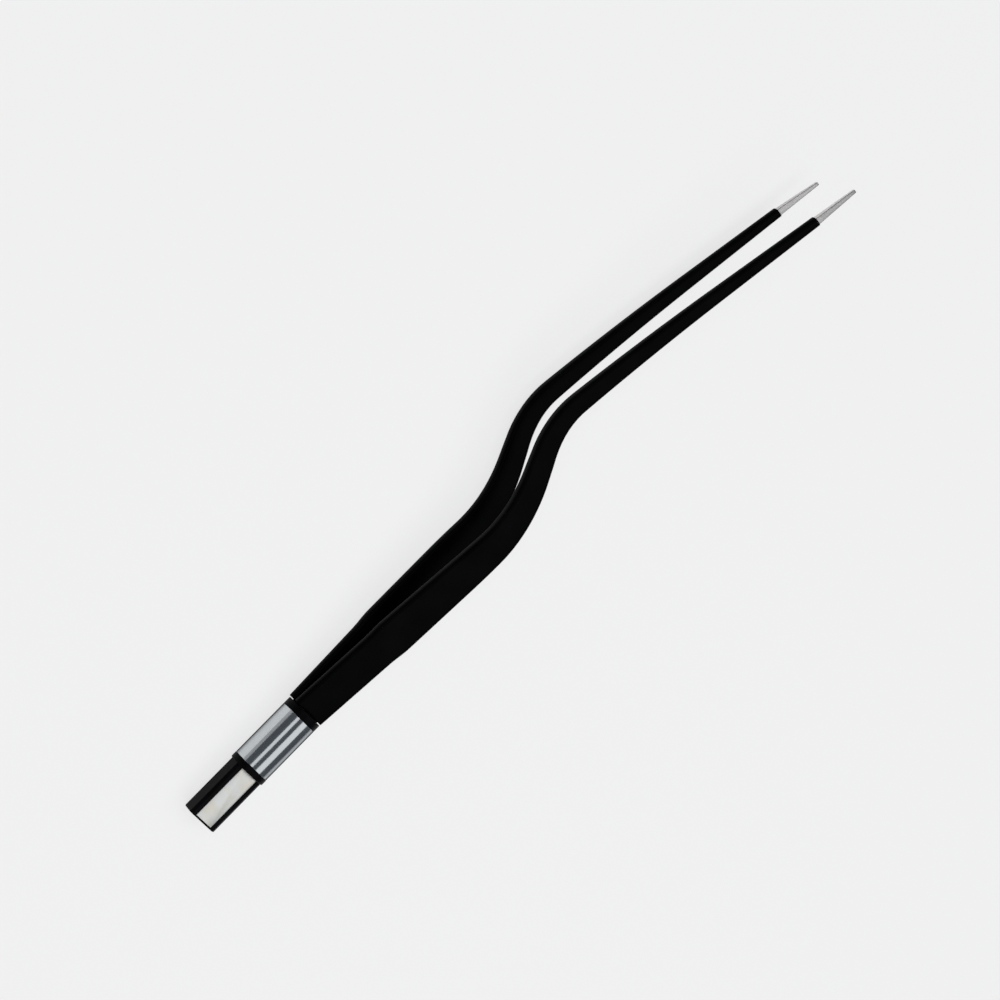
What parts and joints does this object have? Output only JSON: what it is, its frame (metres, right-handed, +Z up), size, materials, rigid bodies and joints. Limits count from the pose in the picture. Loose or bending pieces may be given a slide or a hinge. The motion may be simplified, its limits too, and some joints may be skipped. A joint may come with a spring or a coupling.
{
  "type": "bipolar forceps",
  "caption": "Bayonet spring forceps with black-insulated arms, bare metal tips, a steel ferrule and a flat plug with a metal contact on each wide face.",
  "frame": {"origin": "centre of the plug's rear face, on the axis of the plug and the ferrule", "axes": "+X along the handle from the plug to the tips, +Y to the side to which the bayonet steps, +Z up, the direction in which the arms close and open; the object lies on its side, one arm above the other"},
  "size_m": [0.2093, 0.0172, 0.0192],
  "materials": {
    "arm_steel": "matte steel",
    "insulation": "satin polyamide coating",
    "contact_metal": "matte plated strip",
    "rivet_steel": "turned",
    "spacer_sheet": "laminate sheet",
    "plug_moulding": "moulded",
    "ferrule_steel": "drawn tube, satin",
    "collar_moulding": "moulded",
    "filler_resin": "cast resin"
  },
  "bodies": {
    "plug_and_ferrule": {"plug_body": "plug_moulding", "contact_upper": "contact_metal", "contact_lower": "contact_metal", "rivet_upper": "rivet_steel", "rivet_lower": "rivet_steel", "spacer": "spacer_sheet", "ferrule": "ferrule_steel", "collar": "collar_moulding", "filler": "filler_resin"},
    "upper_arm": {"arm_upper": "arm_steel", "coat_upper": "insulation"},
    "lower_arm": {"arm_lower": "arm_steel", "coat_lower": "insulation"}
  },
  "joints": [
    {"name": "upper_arm_spring", "type": "hinge", "parent": "plug_and_ferrule", "child": "upper_arm", "pos_m": [0.027, 0, 0.0018], "axis": [0, 1, 0], "range_deg": [0, 2.37], "stiffness_Nm_per_rad": 3},
    {"name": "lower_arm_spring", "type": "hinge", "parent": "plug_and_ferrule", "child": "lower_arm", "pos_m": [0.027, 0, -0.0018], "axis": [0, -1, 0], "range_deg": [0, 2.37], "stiffness_Nm_per_rad": 3}
  ]
}
